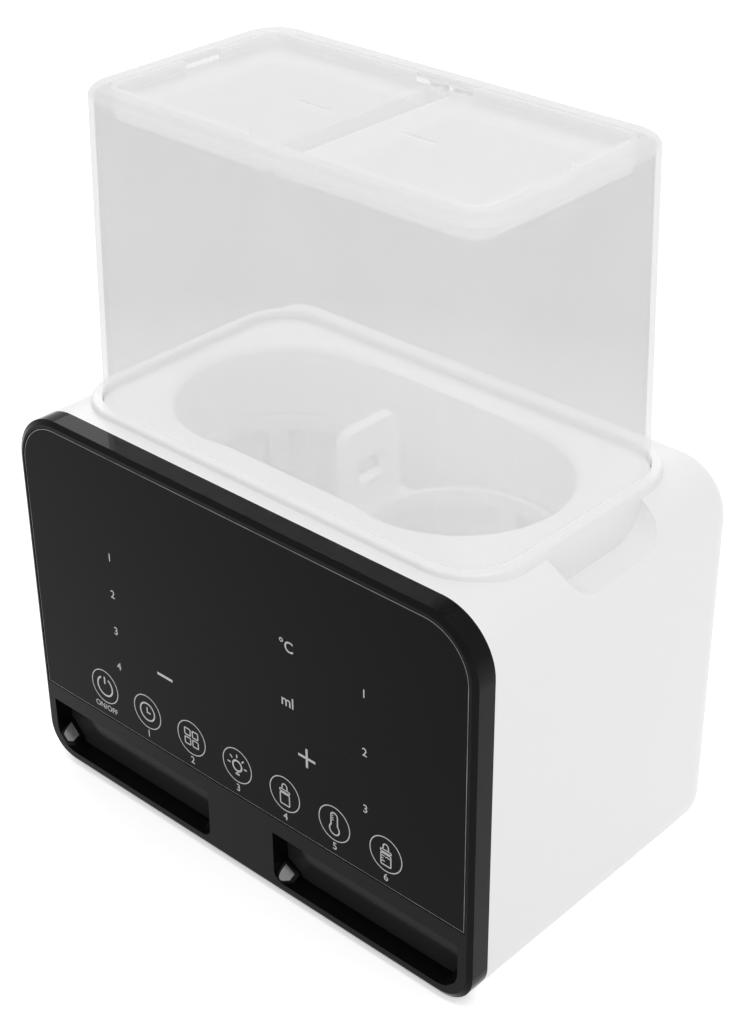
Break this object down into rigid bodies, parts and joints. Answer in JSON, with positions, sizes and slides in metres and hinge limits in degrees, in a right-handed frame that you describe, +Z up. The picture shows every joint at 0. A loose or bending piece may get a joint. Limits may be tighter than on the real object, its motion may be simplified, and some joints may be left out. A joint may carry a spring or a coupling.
{
  "type": "double bottle warmer",
  "caption": "Countertop warmer for baby bottles: white body with a black touch front, a heated well, a lift-out rack and a tall frosted cover with hinged top flaps.",
  "frame": {"origin": "On the surface the warmer stands on, under the middle of the body's width and depth", "axes": "+X to the warmer's right as seen by someone facing it from -Y, +Y from the touch front to the back, +Z up"},
  "size_m": [0.2, 0.1288, 0.2509],
  "materials": {
    "white_plastic": "fine satin",
    "black_plastic": "gloss",
    "black_film": "gloss film with printed white symbols",
    "smoked_plastic": "smoked, dark when unlit",
    "frosted_plastic": "frosted, translucent",
    "rack_plastic": "satin",
    "rubber": "matt",
    "silicone": "matt",
    "plated_steel": "plated",
    "plate_aluminium": "satin",
    "circuit_board": "solder resist",
    "ceramic": "ceramic with film",
    "black_part": "matt",
    "blue_part": "satin",
    "green_part": "satin",
    "yellow_part": "taped winding",
    "grey_cable": "flat cable"
  },
  "bodies": {
    "base": {"housing": "white_plastic", "base_plate": "white_plastic", "front_bezel": "black_plastic", "touch_panel": "black_film", "light_window_left": "smoked_plastic", "light_window_right": "smoked_plastic", "night_light_boards": "circuit_board", "display_board": "circuit_board", "display_module": "black_part", "touch_springs": "plated_steel", "buzzer": "black_part", "well_tank": "white_plastic", "tank_gasket": "silicone", "plate_gasket": "silicone", "heating_plate": "plate_aluminium", "heater_elements": "ceramic", "heater_bracket": "plated_steel", "plate_screws": "plated_steel", "temperature_sensor": "black_part", "thermal_cutout": "black_part", "power_board": "circuit_board", "transformer": "yellow_part", "relay": "blue_part", "terminal_block": "green_part", "ribbon_cable": "grey_cable", "cord_gland": "rack_plastic", "rubber_feet": "rubber", "base_screws": "plated_steel", "board_screws": "plated_steel"},
    "rack": {"bottle_rack": "rack_plastic", "rack_handle": "rack_plastic"},
    "cover": {"tall_cover": "frosted_plastic"},
    "left_flap": {"flap_left": "frosted_plastic"},
    "right_flap": {"flap_right": "frosted_plastic"}
  },
  "joints": [
    {"name": "cover_lift", "type": "slide", "parent": "base", "child": "cover", "axis": [0, 0, 1], "range_m": [0, 0.12]},
    {"name": "rack_lift", "type": "slide", "parent": "base", "child": "rack", "axis": [0, 0, 1], "range_m": [0, 0.088]},
    {"name": "left_flap_hinge", "type": "hinge", "parent": "cover", "child": "left_flap", "pos_m": [-0.0047, 0, 0.2449], "axis": [0, 1, 0], "range_deg": [0, 80]},
    {"name": "right_flap_hinge", "type": "hinge", "parent": "cover", "child": "right_flap", "pos_m": [0.0047, 0, 0.2449], "axis": [0, -1, 0], "range_deg": [0, 80]}
  ]
}
